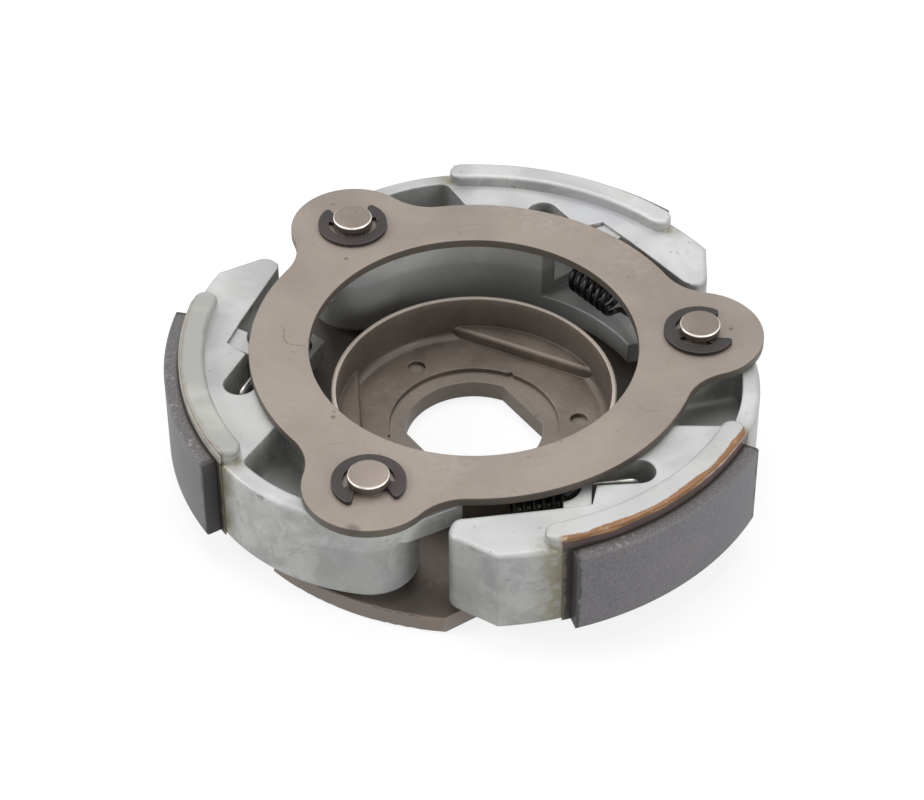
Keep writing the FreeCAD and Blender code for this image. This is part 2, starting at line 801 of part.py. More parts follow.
# Shoe: one die casting with a pivot end, spring ear, pocket, hook slot, spring channel and rim
def make_shoe(label, turn):
    body = new_body(label, turn)
    hub = dim("HubRadius")
    wall = dim("WallRadius")
    inner = dim("InnerRadius")
    height = dim("ShoeTop") - dim("ShoeBottom")
    # The shoulder is the one arc that runs smoothly from the wall into the hub
    shoulder = shoulder_centre()
    shoulder_radius = wall - SHOULDER_OUT
    wall_start = polar(wall, -dim("WallStart"))
    along = hub / (shoulder_radius - hub)
    hub_outer = offset(PIN, ((PIN[0] - shoulder[0]) * along, (PIN[1] - shoulder[1]) * along))
    inner_start = polar(inner, dim("InnerStart"))
    hub_inner = touching(inner_start, PIN, hub, False)
    crease = polar(wall, -dim("CreaseAngle"))
    nose = (dim("NoseX"), -dim("NoseY"))
    nose_in = polar(dim("NoseRound"), dim("NoseTurn"), nose)
    nose_out = touching(crease, nose, dim("NoseRound"), False)
    inner_end = meeting(nose_in, dim("NoseTurn") - 90.0, inner)
    plan = new_sketch(body, "ShoePlan", dim("ShoeBottom"))
    outline(
        plan,
        [crease, wall_start, hub_outer, hub_inner, inner_start, inner_end, nose_in, nose_out],
        {
            0: (ORIGIN, True),
            1: (shoulder, True),
            2: (PIN, True),
            4: (ORIGIN, False),
            6: (nose, True),
        },
        (3, 6, 7),
        (3, 5, 7),
    )
    block = pad(body, "ShoeBlock", plan, height)
    low = dim("ShoeBottom").number
    foot = pick_edges(block, lambda e: level_edge(e, low))
    footed = dressed(body, "Fillet", "FootRound", block, foot, "Radius", dim("FootRound"))
    high = dim("ShoeTop").number
    crown = pick_edges(footed, lambda e: level_edge(e, high))
    dressed(body, "Fillet", "TopRound", footed, crown, "Radius", dim("TopRound"))
    # Pivot boss, a little taller than the casting at both ends
    boss = new_sketch(body, "BossPlan", PLATE_TOP + dim("EndFloat"))
    circle(boss, PIN, dim("HubStep"))
    boss_height = dim("RingLevel") - PLATE_TOP - dim("EndFloat") * 2.0
    pad(body, "Boss", boss, boss_height)
    # Ear that takes the neighbouring shoe's spring
    ear = new_sketch(body, "EarPlan", dim("EarBottom"))
    ear_end = (dim("EarX2"), dim("EarY2"))
    obround(ear, (dim("EarX1"), dim("EarY1")), ear_end, dim("EarRadius"))
    pad(body, "Ear", ear, dim("EarTop") - dim("EarBottom"))
    # Raised rim over the lining
    rim_foot = dim("TopRound") * 1.2
    rim = new_sketch(body, "RimPlan", dim("ShoeTop") - rim_foot)
    curved_slot(rim, wall - dim("RimWidth"), wall, -dim("RimEnd"), -dim("RimStart"))
    raised = pad(body, "Rim", rim, rim_foot + dim("RimHeight"))
    rim_top = (dim("ShoeTop") + dim("RimHeight")).number
    crest = pick_edges(raised, lambda e: level_edge(e, rim_top))
    dressed(body, "Fillet", "RimRound", raised, crest, "Radius", dim("RimRound"))
    # Channel that the return spring lies in, open towards the hub
    top = dim("ShoeTop")
    channel = new_sketch(body, "ChannelPlan", top)
    bend = polar(wall - dim("ChannelIn2"), -dim("ChannelTurn2"))
    outline(
        channel,
        [
            bend,
            polar(wall - dim("ChannelIn3"), -dim("ChannelTurn3")),
            polar(inner + dim("ChannelOut4"), -dim("ChannelTurn4")),
            polar(inner * 0.98, -dim("ChannelTurn5")),
            polar(inner * 0.8, -dim("ChannelTurn5")),
            polar(inner * 0.8, -dim("ChannelTurn1")),
            nose_in,
            touching(bend, nose, dim("NoseRound"), True),
        ],
        {6: (nose, False)},
        (7,),
    )
    pocket(body, "Channel", channel, top - dim("ChannelFloor"))
    # Slot for this shoe's own spring hook
    slot = new_sketch(body, "SlotPlan", top)
    slot_end = (dim("SlotX1"), -dim("SlotY1"))
    obround(slot, slot_end, (dim("SlotX2"), -dim("SlotY2")), dim("SlotRadius"))
    pocket(body, "Slot", slot, top - dim("SlotFloor"))
    # Web between the channel and the slot, rooted in the channel's outer wall
    web = new_sketch(body, "WebPlan", dim("ChannelFloor"))
    root = wall - dim("ChannelIn3") * 0.9
    outline(
        web,
        [
            (dim("WebX1"), -dim("WebY1")),
            (dim("WebX2"), -dim("WebY2")),
            (dim("WebX3"), -dim("WebY3")),
            polar(root, -dim("WebTurn1")),
            polar(root, -dim("WebTurn2")),
        ],
        {0: ((dim("WebHollowX"), -dim("WebHollowY")), True)},
    )
    pad(body, "Web", web, top - dim("WebDrop") - dim("ChannelFloor"))
    # Lightening pocket beside the pivot
    hollow = new_sketch(body, "PocketPlan", top)
    pocket_radius = shoulder_radius - dim("PocketWall")
    pocket_corners = [
        (dim("PocketX1"), -dim("PocketY1")),
        polar(pocket_radius, dim("PocketTurn1"), shoulder),
        polar(pocket_radius, dim("PocketTurn2"), shoulder),
        (dim("PocketX2"), dim("PocketY2")),
    ]
    outline(hollow, pocket_corners, {1: (shoulder, True)})
    cut = pocket(body, "LightPocket", hollow, top - dim("PocketFloor"))
    uprights = []
    for corner in pocket_corners[1:]:
        uprights += pick_edges(cut, upright_at(corner))
    smooth = dressed(body, "Fillet", "PocketCorners", cut, uprights, "Radius", dim("PocketRound"))
    floor = dim("PocketFloor").number
    floor_edges = pick_edges(
        smooth, lambda e: level_edge(e, floor) and e.BoundBox.XMax > inner.number
    )
    dressed(
        body, "Fillet", "PocketFloorRound", smooth, floor_edges, "Radius", dim("PocketRound") * 0.8
    )
    # Holes: pivot, spring hooks, and the blind slot over the stop rubber
    pivot = new_sketch(body, "PivotPlan", dim("RingLevel"))
    circle(pivot, PIN, dim("PinShank") + dim("RunGap"))
    pocket(body, "PivotHole", pivot)
    ear_hole = new_sketch(body, "EarHolePlan", dim("RingLevel"))
    circle(ear_hole, ear_end, dim("HookHole"))
    pocket(body, "EarHole", ear_hole, dim("RingLevel") - dim("ShoeBottom"))
    hook_hole = new_sketch(body, "HookHolePlan", dim("SlotFloor"))
    circle(hook_hole, slot_end, dim("HookHole"))
    pocket(body, "HookHole", hook_hole, dim("HookSink") * 0.8)
    stop = new_sketch(body, "StopPlan", dim("ShoeBottom"))
    stop_reach = dim("RubberRadius") + dim("RunGap")
    obround(stop, swung(STUD, PIN, -dim("StopSwing")), STUD, stop_reach)
    pocket(body, "StopSlot", stop, dim("StopDeep"), up=True)
    return body


# Lining: a curved friction block bonded to the shoe's outer wall
def make_lining(label, turn):
    body = new_body(label, turn)
    inner = dim("WallRadius") + dim("LiningBond")
    outer = inner + dim("LiningThick")
    plan = new_sketch(body, "LiningPlan", dim("LiningBottom"))
    outline(
        plan,
        [
            polar(outer, -dim("LiningEnd")),
            polar(outer, -dim("LiningStart")),
            polar(inner, -dim("LiningStart")),
            polar(inner, -dim("LiningEnd")),
        ],
        {0: (ORIGIN, True), 2: (ORIGIN, False)},
    )
    block = pad(body, "LiningBlock", plan, dim("LiningTop") - dim("LiningBottom"))
    edges = pick_edges(block, lambda e: is_round(e, outer.number))
    dressed(body, "Chamfer", "LiningEdges", block, edges, "Size", dim("LiningEdge"))
    return body


# Bond: the thin layer of adhesive between a shoe and its lining
def make_bond(label, turn):
    body = new_body(label, turn)
    inner = dim("WallRadius") + dim("SeatGap")
    outer = dim("WallRadius") + dim("LiningBond") - dim("SeatGap")
    begin = dim("BondPast") - dim("LiningStart")
    finish = -dim("LiningEnd") - dim("BondPast")
    plan = new_sketch(body, "BondPlan", dim("LiningBottom"))
    outline(
        plan,
        [polar(outer, finish), polar(outer, begin), polar(inner, begin), polar(inner, finish)],
        {0: (ORIGIN, True), 2: (ORIGIN, False)},
    )
    pad(body, "BondLayer", plan, dim("LiningTop") + dim("BondRise") - dim("LiningBottom"))
    return body


# Stop stud: a plain stud riveted in the base plate
def make_stud(label, turn):
    stud = doc.addObject("Part::Cylinder", label)
    stud.Label = label
    bind(stud, "Radius", dim("StudRadius"))
    bind(stud, "Height", PLATE_TOP + dim("StudHeight"))
    move_to(stud, STUD, turn)
    return stud


# Stop rubber: a ring pushed over the stud
def make_rubber(label, turn):
    body = new_body(label)
    plan = new_sketch(body, "RubberPlan", PLATE_TOP)
    circle(plan, ORIGIN, dim("RubberRadius"))
    circle(plan, ORIGIN, dim("StudRadius") + dim("SeatGap"))
    ring = pad(body, "RubberRing", plan, dim("RubberHeight"))
    radius = dim("RubberRadius").number
    edges = pick_edges(ring, lambda e: is_round(e, radius))
    dressed(body, "Fillet", "RubberRims", ring, edges, "Radius", dim("RubberEdge"))
    move_to(body, STUD, turn)
    return body


# Return spring: an extension spring from a shoe's own slot to the next shoe's ear
def bent_wire(corners):
    """A wire of straight runs joined by arcs tangent to both.

    Each corner is a point and how far along its two runs the bend may reach.
    """
    edges = []
    begin = corners[0][0]
    for (before, _), (corner, bend), (after, _) in zip(corners, corners[1:], corners[2:]):
        into = before - corner
        out = after - corner
        reach = min(bend, into.Length / 2, out.Length / 2)
        into.normalize()
        out.normalize()
        start = corner + into * reach
        finish = corner + out * reach
        half = into.getAngle(out) / 2
        inward = into + out
        inward.normalize()
        middle = corner + inward * (reach / math.cos(half) - reach * math.tan(half))
        if (start - begin).Length > 0.001:
            edges.append(Part.LineSegment(begin, start).toShape())
        edges.append(Part.Arc(start, middle, finish).toShape())
        begin = finish
    edges.append(Part.LineSegment(begin, corners[-1][0]).toShape())
    return Part.Wire(edges)


def spring_path():
    """The wire's path: ear hook, coil, slot hook."""
    up = FreeCAD.Vector(0, 0, 1)
    turn = math.radians(dim("CoilTurn").number)
    along = FreeCAD.Vector(math.cos(turn), math.sin(turn), 0)
    across = FreeCAD.Vector(-math.sin(turn), math.cos(turn), 0)
    radius = dim("CoilRadius").number
    pitch = dim("CoilPitch").number
    bend = dim("HookBend").number
    turns = dim("CoilTurns").number
    head = FreeCAD.Vector(dim("CoilX").number, -dim("CoilY").number, dim("CoilLevel").number)
    tail = head - along * (turns * pitch)
    # The coil climbs from its foot to its top, six bends a turn that meet halfway
    side = math.pi / 3
    reach = radius * math.tan(side / 2)

    def coil_corner(count):
        angle = (count + 0.5) * side - math.pi / 2
        ring = across * math.cos(angle) + up * math.sin(angle)
        forward = along * (pitch * (count + 0.5) * side / (2 * math.pi))
        return tail + forward + ring * (radius / math.cos(side / 2))

    bends = int(round((turns + 0.5) * 2 * math.pi / side))
    coil = [(coil_corner(count), reach * 2) for count in range(bends)]
    lead_in = (coil_corner(0) + coil_corner(-1)) * 0.5 - across * bend
    lead_out = (coil_corner(bends) + coil_corner(bends - 1)) * 0.5 - across * bend
    # The tail hook hangs from the hole in the neighbour's ear and runs under it to the coil
    neighbour = FreeCAD.Rotation(up, -120)
    ear = neighbour.multVec(FreeCAD.Vector(dim("EarX2").number, dim("EarY2").number, 0))
    ear_low = ear + up * (dim("EarBottom").number - dim("EarHookDrop").number)
    tail_hook = [(ear_low + up * dim("EarHookRise").number, 0.0), (ear_low, bend), (lead_in, bend)]
    # The head hook leaves the top of the coil, crosses the slot and turns down into its hole
    slot_start = FreeCAD.Vector(dim("SlotX2").number, -dim("SlotY2").number, dim("HookRise").number)
    slot_end = FreeCAD.Vector(dim("SlotX1").number, -dim("SlotY1").number, dim("HookRise").number)
    drop = up * (dim("HookRise") - dim("SlotFloor") + dim("HookSink") * 0.6).number
    head_hook = [(lead_out, bend), (slot_start, bend), (slot_end, bend), (slot_end - drop, 0.0)]
    return bent_wire(tail_hook + coil + head_hook)


def make_spring(label, turn):
    spine = spring_path()
    first = spine.OrderedEdges[0]
    start = first.valueAt(first.FirstParameter)
    direction = first.tangentAt(first.FirstParameter)
    section = Part.Wire([Part.Circle(start, direction, dim("WireRadius").number).toShape()])
    solid = spine.makePipe(Part.Face(section))
    spring = doc.addObject("Part::Feature", label)
    spring.Label = label
    spring.Shape = solid
    spring.Placement = FreeCAD.Placement(
        FreeCAD.Vector(0, 0, 0), FreeCAD.Rotation(FreeCAD.Vector(0, 0, 1), turn)
    )
    return spring


# Three of each moving set, 120 degrees apart, counted anticlockwise from the first pin
pieces = [make_base_plate(), make_hub_cup(), make_side_plate()]
clip_spins = (40.0, 6.0, 66.0)
for number, spin in enumerate(clip_spins, start=1):
    turn = 120.0 * (number - 1)
    pieces.append(make_pin("pivot_pin_%d" % number, turn))
    pieces.append(make_clip("retaining_clip_%d" % number, turn, spin))
    pieces.append(make_shoe("shoe_%d" % number, turn))
    pieces.append(make_lining("lining_%d" % number, turn))
    pieces.append(make_bond("bond_%d" % number, turn))
    pieces.append(make_spring("return_spring_%d" % number, turn))
    pieces.append(make_stud("stop_stud_%d" % number, turn))
    pieces.append(make_rubber("stop_rubber_%d" % number, turn))
doc.recompute()

# Every object has to be sound before anything is written
for item in doc.Objects:
    if "Invalid" in item.State or "Error" in item.State:
        raise RuntimeError("%s is not sound: %s" % (item.Label, item.State))
for piece in pieces:
    shape = piece.Shape
    if shape.isNull() or not shape.isValid() or len(shape.Solids) != 1:
        raise RuntimeError("%s has no single valid solid" % piece.Label)
for piece in pieces:
    piece.Shape.exportStep("parts/%s.step" % piece.Label)
    print(piece.Label, "%.1f mm3" % piece.Shape.Volume)
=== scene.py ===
import math

import bpy
from mathutils import Matrix, Vector


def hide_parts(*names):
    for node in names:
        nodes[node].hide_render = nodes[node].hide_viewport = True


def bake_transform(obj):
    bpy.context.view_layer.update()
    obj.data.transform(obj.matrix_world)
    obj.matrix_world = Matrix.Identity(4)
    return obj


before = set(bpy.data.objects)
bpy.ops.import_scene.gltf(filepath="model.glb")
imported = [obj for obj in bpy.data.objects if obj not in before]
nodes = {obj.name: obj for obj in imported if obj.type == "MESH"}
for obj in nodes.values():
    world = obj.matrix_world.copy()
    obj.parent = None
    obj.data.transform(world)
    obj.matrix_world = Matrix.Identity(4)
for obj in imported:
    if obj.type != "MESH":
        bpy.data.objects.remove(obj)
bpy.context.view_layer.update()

# Centrifugal clutch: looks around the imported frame. Metres, clutch axis up, base plate on the floor

scene = bpy.context.scene
METRE = 1.0
MM = 0.001
DEGREE = 1.0
SHOES = (1, 2, 3)
THIRD = 120.0  # degrees from one shoe to the next
UP = Vector((0, 0, 1))
BEVEL_SAMPLES = 6
MIX_A, MIX_B, MIX_RESULT = 6, 7, 2  # the Mix node's sockets for colours


def about_axis(degrees):
    """A turn about the clutch axis."""
    return Matrix.Rotation(math.radians(degrees), 3, "Z")


def shaded(colour, share):
    """The colour at a share of its brightness."""
    return tuple(part * share for part in colour)


class Shader:
    """A node material with short names for the nodes it is built from."""

    def __init__(self, name):
        self.mat = bpy.data.materials.new(name)
        self.mat.use_nodes = True
        self.tree = self.mat.node_tree
        self.tree.nodes.clear()
        out = self.tree.nodes.new("ShaderNodeOutputMaterial")
        self.bsdf = self.tree.nodes.new("ShaderNodeBsdfPrincipled")
        self.tree.links.new(self.bsdf.outputs[0], out.inputs[0])
        self.place = self.tree.nodes.new("ShaderNodeTexCoord").outputs["Object"]

    def feed(self, socket, value):
        if isinstance(value, bpy.types.NodeSocket):
            self.tree.links.new(value, socket)
        elif isinstance(value, tuple):
            socket.default_value = (*value, 1.0)
        else:
            socket.default_value = value

    def set(self, **values):
        for name, value in values.items():
            self.feed(self.bsdf.inputs[name.replace("_", " ")], value)

    def noise(self, scale, detail=4.0, rough=0.5, distort=0.0):
        node = self.tree.nodes.new("ShaderNodeTexNoise")
        self.feed(node.inputs["Vector"], self.place)
        self.feed(node.inputs["Scale"], float(scale))
        self.feed(node.inputs["Detail"], detail)
        self.feed(node.inputs["Roughness"], rough)
        self.feed(node.inputs["Distortion"], distort)
        return node.outputs["Fac"]

    def dots(self, scale, low, high):
        """1 at the middles of scattered cells and 0 between them."""
        node = self.tree.nodes.new("ShaderNodeTexVoronoi")
        self.feed(node.inputs["Vector"], self.place)
        self.feed(node.inputs["Scale"], float(scale))
        return self.band(node.outputs["Distance"], low, high, 1.0, 0.0)

    def moved(self, angle, shift=(0.0, 0.0)):
        """The object's coordinates turned about the clutch axis, then shifted in plan."""
        node = self.tree.nodes.new("ShaderNodeMapping")
        self.feed(node.inputs["Vector"], self.place)
        node.inputs["Rotation"].default_value = (0.0, 0.0, angle)
        node.inputs["Location"].default_value = (*shift, 0.0)
        return node.outputs[0]

    def band(self, value, low, high, start=0.0, end=1.0):
        """Maps low..high to start..end with soft ends."""
        node = self.tree.nodes.new("ShaderNodeMapRange")
        node.interpolation_type = "SMOOTHSTEP"
        self.feed(node.inputs["Value"], value)
        node.inputs["From Min"].default_value = low
        node.inputs["From Max"].default_value = high
        node.inputs["To Min"].default_value = start
        node.inputs["To Max"].default_value = end
        return node.outputs[0]

    def above(self, value, step, unit=MM):
        """0 below the soft step and 1 above it."""
        return self.band(value, step[0] * unit, step[1] * unit)

    def below(self, value, step, unit=MM):
        """1 below the soft step and 0 above it."""
        return self.band(value, step[0] * unit, step[1] * unit, 1.0, 0.0)

    def math(self, kind, a, b=0.5):
        node = self.tree.nodes.new("ShaderNodeMath")
        node.operation = kind
        self.feed(node.inputs[0], a)
        self.feed(node.inputs[1], b)
        return node.outputs[0]

    def all_of(self, *masks):
        last = masks[0]
        for mask in masks[1:]:
            last = self.math("MULTIPLY", last, mask)
        return last

    def wander(self, noise, span):
        """An offset that follows a noise, up to half the span to either side."""
        return self.math("MULTIPLY", self.math("SUBTRACT", noise, 0.5), span)

    def mix(self, share, a, b):
        node = self.tree.nodes.new("ShaderNodeMix")
        node.data_type = "RGBA"
        self.feed(node.inputs[0], share)
        self.feed(node.inputs[MIX_A], a)
        self.feed(node.inputs[MIX_B], b)
        return node.outputs[MIX_RESULT]

    def over(self, base, mask, share, colour):
        """Lays a colour over the base where the mask is 1, at a share of its strength."""
        return self.mix(self.math("MULTIPLY", mask, share), base, colour)

    def split(self, vector):
        node = self.tree.nodes.new("ShaderNodeSeparateXYZ")
        self.feed(node.inputs[0], vector)
        return node.outputs

    def bump(self, height, strength, distance, normal=None):
        node = self.tree.nodes.new("ShaderNodeBump")
        self.feed(node.inputs["Height"], height)
        node.inputs["Strength"].default_value = strength
        node.inputs["Distance"].default_value = distance
        if normal is not None:
            self.feed(node.inputs["Normal"], normal)
        return node.outputs[0]

    def rounded(self, radius):
        """Normals that run softly over every edge."""
        node = self.tree.nodes.new("ShaderNodeBevel")
        node.samples = BEVEL_SAMPLES
        node.inputs["Radius"].default_value = radius
        return node.outputs[0]

    def edges(self, radius, low=0.02, high=0.25):
        """Near 1 along sharp edges and 0 on open faces."""
        normal = self.tree.nodes.new("ShaderNodeNewGeometry").outputs["Normal"]
        node = self.tree.nodes.new("ShaderNodeVectorMath")
        node.operation = "DOT_PRODUCT"
        self.feed(node.inputs[0], self.rounded(radius))
        self.feed(node.inputs[1], normal)
        return self.band(self.math("SUBTRACT", 1.0, node.outputs["Value"]), low, high)

    def where(self, number=1):
        """Height, distance from the axis and plan angle in degrees, a shoe turned to the first."""
        x, y, z = self.split(self.moved(math.radians(-THIRD * (number - 1))))
        square = self.math("ADD", self.math("MULTIPLY", x, x), self.math("MULTIPLY", y, y))
        angle = self.math("MULTIPLY", self.math("ARCTAN2", y, x), 180.0 / math.pi)
        return z, self.math("SQRT", square), angle

    def between(self, angle, ends):
        """Degrees to the nearer of two plan angles, above 0 between them."""
        first, last = ends
        from_first = self.math("SUBTRACT", angle, first)
        return self.math("MINIMUM", from_first, self.math("SUBTRACT", last, angle))

    def upright(self):
        """1 on walls that stand up and 0 on level faces."""
        normal = self.tree.nodes.new("ShaderNodeNewGeometry").outputs["True Normal"]
        slope = self.math("ABSOLUTE", self.split(normal)[2])
        return self.band(slope, 0.35, 0.8, 1.0, 0.0)

    def close_to(self, point, near, far):
        """1 within near of a point and 0 beyond far, all in millimetres."""
        node = self.tree.nodes.new("ShaderNodeVectorMath")
        node.operation = "DISTANCE"
        self.feed(node.inputs[0], self.place)
        node.inputs[1].default_value = tuple(v * MM for v in point)
        return self.below(node.outputs["Value"], (near, far))

    def scratch(self, start, finish, width):
        """1 along a line between two plan points in millimetres, with gaps in it."""
        mid = Vector(((start[0] + finish[0]) / 2, (start[1] + finish[1]) / 2)) * MM
        run = Vector((finish[0] - start[0], finish[1] - start[1])) * MM
        turn = -math.atan2(run.y, run.x)
        shift = Matrix.Rotation(turn, 2) @ mid
        x, y, _ = self.split(self.moved(turn, (-shift.x, -shift.y)))
        across = self.below(self.math("ABSOLUTE", y), (width * 0.4, width))
        tips = (run.length * 0.42, run.length * 0.52)
        along = self.below(self.math("ABSOLUTE", x), tips, METRE)
        return self.all_of(across, along, self.band(self.noise(2200, 2), 0.34, 0.5))


# Soft steps that the materials follow: heights, in millimetres
CUP_UNDER_LIP = (12.6, 14.6)
CUP_FLOOR = (5.0, 7.0)
CUP_LIP = (14.5, 14.8)
CHAMFER_FOOT = (28.70, 28.78)
CHAMFER_HEAD = (29.02, 29.09)
SHOE_FLOORS = (16.8, 18.5)
SHOE_RIM = (24.9, 26.4)
STAIN_HEAD = (24.6, 25.6)
BROWN_SPECKS = (22.4, 23.8)
FILM_FOOT = (25.0, 25.6)
LINING_HEAD = (24.0, 24.16)
RESIN_FOOT = (24.1, 24.6)

# Distances from the clutch axis, in millimetres
CUP_WALL = (26.2, 27.3)
OUTSIDE_CUP = (28.5, 30.0)
SHOE_WALLS = (40.0, 44.0)
STAIN_REACH = (53.5, 55.0)
FLOORS_REACH = (55.5, 56.5)
FILM_REACH = (57.4, 57.75)
LINING_GLUE = (58.75, 59.3)

# Plan angles in degrees, where the first shoe sits
STAIN_FIRST, STAIN_LAST = (-54.6, -48.8), (1.0, 5.5)
FILM_FIRST, FILM_LAST = (-48.8, -47.0), (0.0, 1.6)
RESIN_PINK = (-22.0, -8.0)

# Ends of the lining and of the resin round it. The lining's dark crust ends this many degrees
# inside them, and the resin's begins there
LINING_ENDS = (-45.8, -1.4)
LINING_CRUST = (0.35, 1.0)
RESIN_ENDS = (-47.6, 0.4)
RESIN_CRUST = (0.2, 1.0)

# Height of the dark line under the resin, and how wide it is to either side
SEAM = 24.3
SEAM_WIDTH = (0.1, 0.35)

# Marks on the side plate and the base plate, and the middle of the first spring's bright hook
BENT_SCRATCH = ((-37.0, -11.6), (-35.2, -13.6), (-34.6, -15.4), (-33.0, -16.3), (-29.4, -15.4))
SHORT_SCRATCHES = (
    ((38.0, -4.0), (41.5, -2.2)),
    ((-20.0, 31.5), (-15.5, 34.6)),
    ((-12.0, -38.8), (-9.2, -37.0)),
)
NICKS = ((-14.8, -31.5, 26.6), (44.1, 26.3, 26.6), (-35.2, 12.4, 26.6))
DENT = (3.0, -57.6, 26.4)
RUST_SPOTS = ((16.9, -53.5, 3.4), (-33.0, -40.0, 2.5), (12.4, -42.3, 3.9))
BRIGHT_HOOK = Vector((39.8, -19.8, 21.0))

# How the shoes differ: cured film on the rim, greyness of the rim and brightness of the walls, which
# is painted light and shade
FILM_SHARE = {1: 0.95, 2: 0.15, 3: 0.25}
RIM_SHADE = {1: 0.3, 2: 0.0, 3: 1.0}
WALL_PAINTED_LIGHT = {1: 0.86, 2: 0.78, 3: 1.16}
THICK_FILM = 0.5  # a shoe with more film than this also has brown resin


# Materials
def steel(name, low, high, edge, metallic, rough, extra=None, grain=0.22, edge_wear_and_highlight_share=0.75):
    """Phosphated steel: a brown-grey satin with faint clouds, fine specks and lighter edges, partly
    worn and partly a painted highlight.
    """
    s = Shader(name)
    cloud = s.noise(55, 5, 0.55, 0.3)
    fine = s.noise(900, 3, 0.6)
    speck = s.noise(420, 2)
    base = s.mix(s.band(cloud, 0.32, 0.7), low, high)
    base = s.mix(s.band(fine, 0.35, 0.75, 0.0, grain), base, shaded(low, 0.55))
    base = s.mix(s.band(speck, 0.70, 0.76, 0.0, 0.45), base, shaded(low, 0.35))
    # Lighter edges: wear, and a painted highlight along them
    wear_and_highlight = s.all_of(s.edges(0.35 * MM), s.band(s.noise(260, 3), 0.3, 0.6, 0.35, 1.0))
    base = s.over(base, wear_and_highlight, edge_wear_and_highlight_share, edge)
    if extra:
        base = extra(s, base)
    s.set(
        Base_Color=base,
        Metallic=metallic,
        Roughness=s.band(cloud, 0.3, 0.72, rough, rough + 0.14),
        Normal=s.bump(fine, 0.12, 0.05 * MM, s.rounded(0.2 * MM)),
    )
    return s.mat


def plate_marks(s, base):
    """Handling scratches, small dark dents and a few rubbed patches on the side plate."""
    dark = (0.09, 0.07, 0.055)
    for start, finish in zip(BENT_SCRATCH, BENT_SCRATCH[1:]):
        base = s.over(base, s.scratch(start, finish, 0.26), 0.55, (0.13, 0.10, 0.08))
    for start, finish in SHORT_SCRATCHES:
        base = s.over(base, s.scratch(start, finish, 0.16), 0.4, dark)
    for place in NICKS:
        base = s.over(base, s.close_to(place, 0.3, 0.6), 0.7, dark)
    dent = s.all_of(s.close_to(DENT, 0.9, 2.2), s.band(s.noise(420, 3), 0.35, 0.55, 0.5, 1.0))
    base = s.over(base, dent, 0.65, dark)
    rub_and_glint = s.all_of(s.band(s.noise(38, 3), 0.56, 0.68), s.band(s.noise(700, 3), 0.45, 0.6))
    base = s.over(base, rub_and_glint, 0.10, (0.56, 0.52, 0.48))
    # The upright walls are darker than the level faces
    return s.over(base, s.upright(), 0.85, (0.075, 0.062, 0.052))


def cup_shade(s, base):
    """The drawn cup: painted shade on the wall inside, dark stains low in the cup and a painted
    highlight along the lip.
    """
    z, reach, _ = s.where()
    # Painted shade on the wall inside the cup, below the lip
    inside = s.all_of(s.above(reach, CUP_WALL), s.below(z, CUP_UNDER_LIP))
    base = s.over(base, inside, 0.3, (0.055, 0.047, 0.040))
    stain = s.all_of(s.band(s.noise(48, 4, 0.6, 0.8), 0.48, 0.66), s.below(z, CUP_FLOOR))
    base = s.over(base, stain, 0.35, (0.08, 0.062, 0.048))
    # Painted highlight along the lip
    return s.over(base, s.above(z, CUP_LIP), 0.75, (0.62, 0.55, 0.48))


def pin_shine(s, base):
    """The pin's wall is darker than its top, and the chamfer round its top is rubbed and painted
    bright as a highlight.
    """
    z = s.where()[0]
    base = s.over(base, s.upright(), 0.8, (0.085, 0.068, 0.058))
    # The chamfer is rubbed and carries a painted highlight
    chamfer = s.all_of(s.above(z, CHAMFER_FOOT), s.below(z, CHAMFER_HEAD))
    rub_and_glint = s.band(s.noise(420, 2), 0.25, 0.5, 0.55, 1.0)
    return s.mix(s.all_of(chamfer, rub_and_glint), base, (1.0, 0.94, 0.88))


def base_marks(s, base):
    """Outside the cup the base plate is painted dark as shade under the shoes, with a lighter edge
    and specks of rust.
    """
    outside = s.above(s.where()[1], OUTSIDE_CUP)
    # Painted shade, mottled: outside the cup the plate lies under the shoes
    shade_mottle = s.band(s.noise(60, 4, 0.6), 0.35, 0.65)
    shade_under_shoes = s.mix(shade_mottle, (0.085, 0.070, 0.059), (0.135, 0.112, 0.095))
    base = s.over(base, outside, 0.85, shade_under_shoes)
    base = s.over(base, s.all_of(outside, s.upright()), 0.8, (0.27, 0.23, 0.20))
    grains = s.band(s.noise(1400, 3, 0.6), 0.52, 0.60)
    for place in RUST_SPOTS:
        spot = s.all_of(s.close_to(place, 1.0, 5.5), grains)
        base = s.over(base, spot, 0.5, (0.30, 0.17, 0.09))
    return base


def spring_wire():
    """Blued spring wire: near black and oily, with lighter rub marks."""
    s = Shader("spring_steel")
    cloud = s.noise(180, 3)
    base = s.mix(s.band(cloud, 0.35, 0.7), (0.016, 0.015, 0.015), (0.042, 0.038, 0.036))
    base = s.over(base, s.band(s.noise(520, 3, 0.6), 0.62, 0.72), 0.5, (0.17, 0.15, 0.13))
    # The hook that runs over each slot is painted bright: a painted highlight on the wire
    places = [about_axis(THIRD * (number - 1)) @ BRIGHT_HOOK for number in SHOES]
    first, second, third = (s.close_to(place, 3.8, 6.0) for place in places)
    hook = s.math("ADD", s.math("ADD", first, second), third)
    hook = s.all_of(hook, s.band(s.noise(260, 3), 0.30, 0.5, 0.45, 1.0))
    base = s.mix(hook, base, (0.52, 0.50, 0.47))
    s.set(
        Base_Color=base,
        Metallic=s.band(hook, 0.0, 1.0, 0.45, 0.8),
        Roughness=s.band(cloud, 0.3, 0.7, 0.22, 0.38),
        Normal=s.bump(s.noise(1400, 2), 0.1, 0.03 * MM),
    )
    return s.mat


